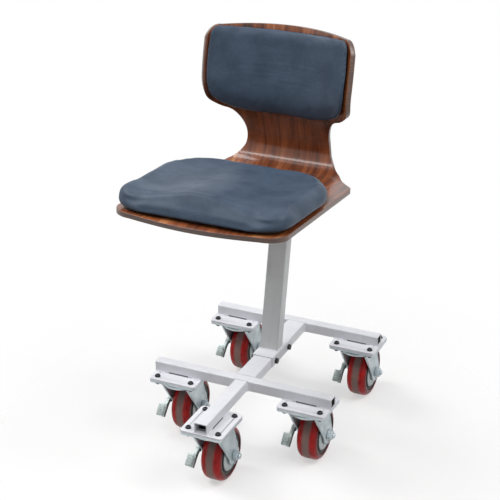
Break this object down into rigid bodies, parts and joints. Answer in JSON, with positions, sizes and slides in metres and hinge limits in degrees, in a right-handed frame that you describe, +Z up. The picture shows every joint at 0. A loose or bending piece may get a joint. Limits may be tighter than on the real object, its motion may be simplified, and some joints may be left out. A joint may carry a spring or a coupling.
{
  "type": "maintenance stool",
  "caption": "Rolling maintenance stool: bent-plywood seat and back with dark pads on a raked column over a low tube base with braked swivel casters.",
  "frame": {"origin": "on the floor, at the middle of the stool's width and depth", "axes": "+Z up, +X to the right of a person facing the stool's front, the front towards -Y"},
  "size_m": [0.434, 0.6919, 0.9428],
  "materials": {
    "frame": "satin",
    "column": "satin",
    "zinc": "satin",
    "cover": "satin",
    "bolt": "satin",
    "tread": "satin",
    "core": "matte",
    "plywood": "gloss",
    "board": "matte",
    "pad": "satin"
  },
  "bodies": {
    "stool": {"nose_caster_plate": "zinc", "nose_mount_plate": "frame", "front_left_caster_plate": "zinc", "front_left_mount_plate": "frame", "front_right_caster_plate": "zinc", "front_right_mount_plate": "frame", "rear_left_caster_plate": "zinc", "rear_left_mount_plate": "frame", "rear_right_caster_plate": "zinc", "rear_right_mount_plate": "frame", "kingpins": "zinc", "swivel_balls": "zinc", "caster_bolts": "bolt", "front_cross_tube": "frame", "rear_cross_tube": "frame", "spine_tube": "frame", "nose_tube": "frame", "column_saddle": "frame", "saddle_bolts": "bolt", "column_tube": "column", "seat_arm": "column", "front_seat_strap": "column", "rear_seat_strap": "column", "seat_bolts": "bolt", "seat_shell": "plywood", "cushion_board": "board", "seat_cushion": "pad", "back_pad_board": "board", "back_pad": "pad"},
    "nose_swivel": {"nose_fork": "zinc", "nose_axle_hardware": "zinc"},
    "nose_wheel": {"nose_tread": "tread", "nose_wheel_core": "core", "nose_hub_covers": "cover"},
    "nose_pedal": {"nose_brake_pedal": "zinc"},
    "front_left_swivel": {"front_left_fork": "zinc", "front_left_axle_hardware": "zinc"},
    "front_left_wheel": {"front_left_tread": "tread", "front_left_wheel_core": "core", "front_left_hub_covers": "cover"},
    "front_left_pedal": {"front_left_brake_pedal": "zinc"},
    "front_right_swivel": {"front_right_fork": "zinc", "front_right_axle_hardware": "zinc"},
    "front_right_wheel": {"front_right_tread": "tread", "front_right_wheel_core": "core", "front_right_hub_covers": "cover"},
    "front_right_pedal": {"front_right_brake_pedal": "zinc"},
    "rear_left_swivel": {"rear_left_fork": "zinc", "rear_left_axle_hardware": "zinc"},
    "rear_left_wheel": {"rear_left_tread": "tread", "rear_left_wheel_core": "core", "rear_left_hub_covers": "cover"},
    "rear_left_pedal": {"rear_left_brake_pedal": "zinc"},
    "rear_right_swivel": {"rear_right_fork": "zinc", "rear_right_axle_hardware": "zinc"},
    "rear_right_wheel": {"rear_right_tread": "tread", "rear_right_wheel_core": "core", "rear_right_hub_covers": "cover"},
    "rear_right_pedal": {"rear_right_brake_pedal": "zinc"}
  },
  "joints": [
    {"name": "nose_swivel_turn", "type": "hinge", "parent": "stool", "child": "nose_swivel", "pos_m": [0, -0.25225, 0.1457], "axis": [0, 0, 1], "continuous": true},
    {"name": "nose_wheel_roll", "type": "hinge", "parent": "nose_swivel", "child": "nose_wheel", "pos_m": [0, -0.20425, 0.0625], "axis": [1, 0, 0], "continuous": true},
    {"name": "nose_pedal_press", "type": "hinge", "parent": "nose_swivel", "child": "nose_pedal", "pos_m": [-0.0386, -0.23425, 0.08], "axis": [1, 0, 0], "range_deg": [0, 12]},
    {"name": "front_left_swivel_turn", "type": "hinge", "parent": "stool", "child": "front_left_swivel", "pos_m": [-0.158, -0.08525, 0.1457], "axis": [0, 0, 1], "continuous": true},
    {"name": "front_left_wheel_roll", "type": "hinge", "parent": "front_left_swivel", "child": "front_left_wheel", "pos_m": [-0.158, -0.03725, 0.0625], "axis": [1, 0, 0], "continuous": true},
    {"name": "front_left_pedal_press", "type": "hinge", "parent": "front_left_swivel", "child": "front_left_pedal", "pos_m": [-0.1966, -0.06725, 0.08], "axis": [1, 0, 0], "range_deg": [0, 12]},
    {"name": "front_right_swivel_turn", "type": "hinge", "parent": "stool", "child": "front_right_swivel", "pos_m": [0.158, -0.08525, 0.1457], "axis": [0, 0, 1], "continuous": true},
    {"name": "front_right_wheel_roll", "type": "hinge", "parent": "front_right_swivel", "child": "front_right_wheel", "pos_m": [0.158, -0.03725, 0.0625], "axis": [1, 0, 0], "continuous": true},
    {"name": "front_right_pedal_press", "type": "hinge", "parent": "front_right_swivel", "child": "front_right_pedal", "pos_m": [0.1194, -0.06725, 0.08], "axis": [1, 0, 0], "range_deg": [0, 12]},
    {"name": "rear_left_swivel_turn", "type": "hinge", "parent": "stool", "child": "rear_left_swivel", "pos_m": [-0.157, 0.23575, 0.1457], "axis": [0, 0, 1], "continuous": true},
    {"name": "rear_left_wheel_roll", "type": "hinge", "parent": "rear_left_swivel", "child": "rear_left_wheel", "pos_m": [-0.157, 0.28375, 0.0625], "axis": [1, 0, 0], "continuous": true},
    {"name": "rear_left_pedal_press", "type": "hinge", "parent": "rear_left_swivel", "child": "rear_left_pedal", "pos_m": [-0.1956, 0.25375, 0.08], "axis": [1, 0, 0], "range_deg": [0, 12]},
    {"name": "rear_right_swivel_turn", "type": "hinge", "parent": "stool", "child": "rear_right_swivel", "pos_m": [0.157, 0.23575, 0.1457], "axis": [0, 0, 1], "continuous": true},
    {"name": "rear_right_wheel_roll", "type": "hinge", "parent": "rear_right_swivel", "child": "rear_right_wheel", "pos_m": [0.157, 0.28375, 0.0625], "axis": [1, 0, 0], "continuous": true},
    {"name": "rear_right_pedal_press", "type": "hinge", "parent": "rear_right_swivel", "child": "rear_right_pedal", "pos_m": [0.1184, 0.25375, 0.08], "axis": [1, 0, 0], "range_deg": [0, 12]}
  ]
}
